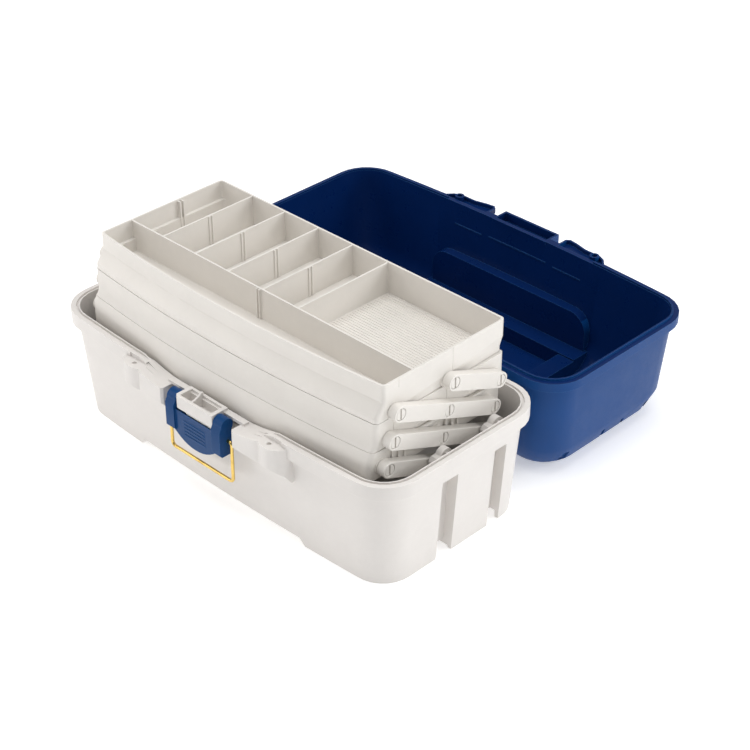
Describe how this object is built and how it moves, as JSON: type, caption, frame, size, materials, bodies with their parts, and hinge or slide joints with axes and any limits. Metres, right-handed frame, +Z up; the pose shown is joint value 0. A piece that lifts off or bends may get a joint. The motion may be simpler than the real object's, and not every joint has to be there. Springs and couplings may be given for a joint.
{
  "type": "fishing tackle box",
  "caption": "Open fishing tackle box with a drafted tub, rear-hinged lid, cantilever trays on parallel arms, a draw latch and a folding handle.",
  "frame": {"origin": "middle of the underside of the tub", "axes": "+X along the length to the right seen from the latch side, -Y towards the latch, +Y towards the hinge and the open lid, +Z up"},
  "size_m": [0.439, 0.4585, 0.1908],
  "materials": {
    "tub_plastic": "fine moulded texture, warm off-white",
    "tray_plastic": "satin, warm off-white",
    "lid_plastic": "satin navy blue",
    "bail_brass": "polished wire",
    "steel": "plain drawn wire"
  },
  "bodies": {
    "base": {"base_tub": "tub_plastic", "hinge_pins": "steel", "latch_pins": "steel", "studs_base": "tray_plastic"},
    "lid": {"lid_shell": "lid_plastic", "handle_pins": "steel"},
    "handle": {"carry_handle": "lid_plastic"},
    "lever": {"latch_lever": "lid_plastic"},
    "bail": {"latch_bail": "bail_brass"},
    "arms_a": {"arm_a_left": "tray_plastic", "arm_a_right": "tray_plastic"},
    "arms_b": {"arm_b_left": "tray_plastic", "arm_b_right": "tray_plastic"},
    "arms_c": {"arm_c_left": "tray_plastic", "arm_c_right": "tray_plastic"},
    "arms_d": {"arm_d_left": "tray_plastic", "arm_d_right": "tray_plastic"},
    "bottom_tray": {"tray_bottom": "tray_plastic", "studs_bottom": "tray_plastic"},
    "middle_tray": {"tray_middle": "tray_plastic", "studs_middle": "tray_plastic"},
    "top_tray": {"tray_top": "tray_plastic", "studs_top": "tray_plastic"}
  },
  "joints": [
    {"name": "lid_hinge", "type": "hinge", "parent": "base", "child": "lid", "pos_m": [0, 0.1093, 0.114], "axis": [-1, 0, 0], "range_deg": [-180, 0]},
    {"name": "carry_handle", "type": "hinge", "parent": "lid", "child": "handle", "pos_m": [0, 0.243, 0.009], "axis": [-1, 0, 0], "range_deg": [-5, 95]},
    {"name": "latch_lever", "type": "hinge", "parent": "base", "child": "lever", "pos_m": [0, -0.11, 0.102], "axis": [1, 0, 0], "range_deg": [-100, 0]},
    {"name": "latch_bail", "type": "hinge", "parent": "lever", "child": "bail", "pos_m": [0, -0.11, 0.086], "axis": [-1, 0, 0], "range_deg": [0, 175]},
    {"name": "tray_lift", "type": "hinge", "parent": "base", "child": "arms_c", "pos_m": [0, 0.0573, 0.0877], "axis": [-1, 0, 0], "range_deg": [0, 105]},
    {"name": "arm_d_pivot", "type": "hinge", "parent": "base", "child": "arms_d", "pos_m": [0, -0.0085, 0.0877], "axis": [-1, 0, 0], "range_deg": [0, 105]},
    {"name": "bottom_tray_pivot", "type": "hinge", "parent": "arms_c", "child": "bottom_tray", "pos_m": [0, -0.002, 0.1127], "axis": [-1, 0, 0], "range_deg": [-105, 0]},
    {"name": "middle_tray_pivot", "type": "hinge", "parent": "arms_c", "child": "middle_tray", "pos_m": [0, -0.0613, 0.1377], "axis": [-1, 0, 0], "range_deg": [-105, 0]},
    {"name": "arm_b_pivot", "type": "hinge", "parent": "bottom_tray", "child": "arms_b", "pos_m": [0, 0.0638, 0.1127], "axis": [-1, 0, 0], "range_deg": [0, 105]},
    {"name": "arm_a_pivot", "type": "hinge", "parent": "middle_tray", "child": "arms_a", "pos_m": [0, 0.0703, 0.1377], "axis": [-1, 0, 0], "range_deg": [0, 105]},
    {"name": "top_tray_pivot", "type": "hinge", "parent": "arms_b", "child": "top_tray", "pos_m": [0, -0.0548, 0.1627], "axis": [-1, 0, 0], "range_deg": [-105, 0]}
  ],
  "couplings": [
    {"joint": "arm_d_pivot", "follows": "tray_lift", "ratio": 1},
    {"joint": "bottom_tray_pivot", "follows": "tray_lift", "ratio": -1},
    {"joint": "middle_tray_pivot", "follows": "tray_lift", "ratio": -1},
    {"joint": "arm_b_pivot", "follows": "tray_lift", "ratio": 1},
    {"joint": "arm_a_pivot", "follows": "tray_lift", "ratio": 1},
    {"joint": "top_tray_pivot", "follows": "tray_lift", "ratio": -1}
  ]
}
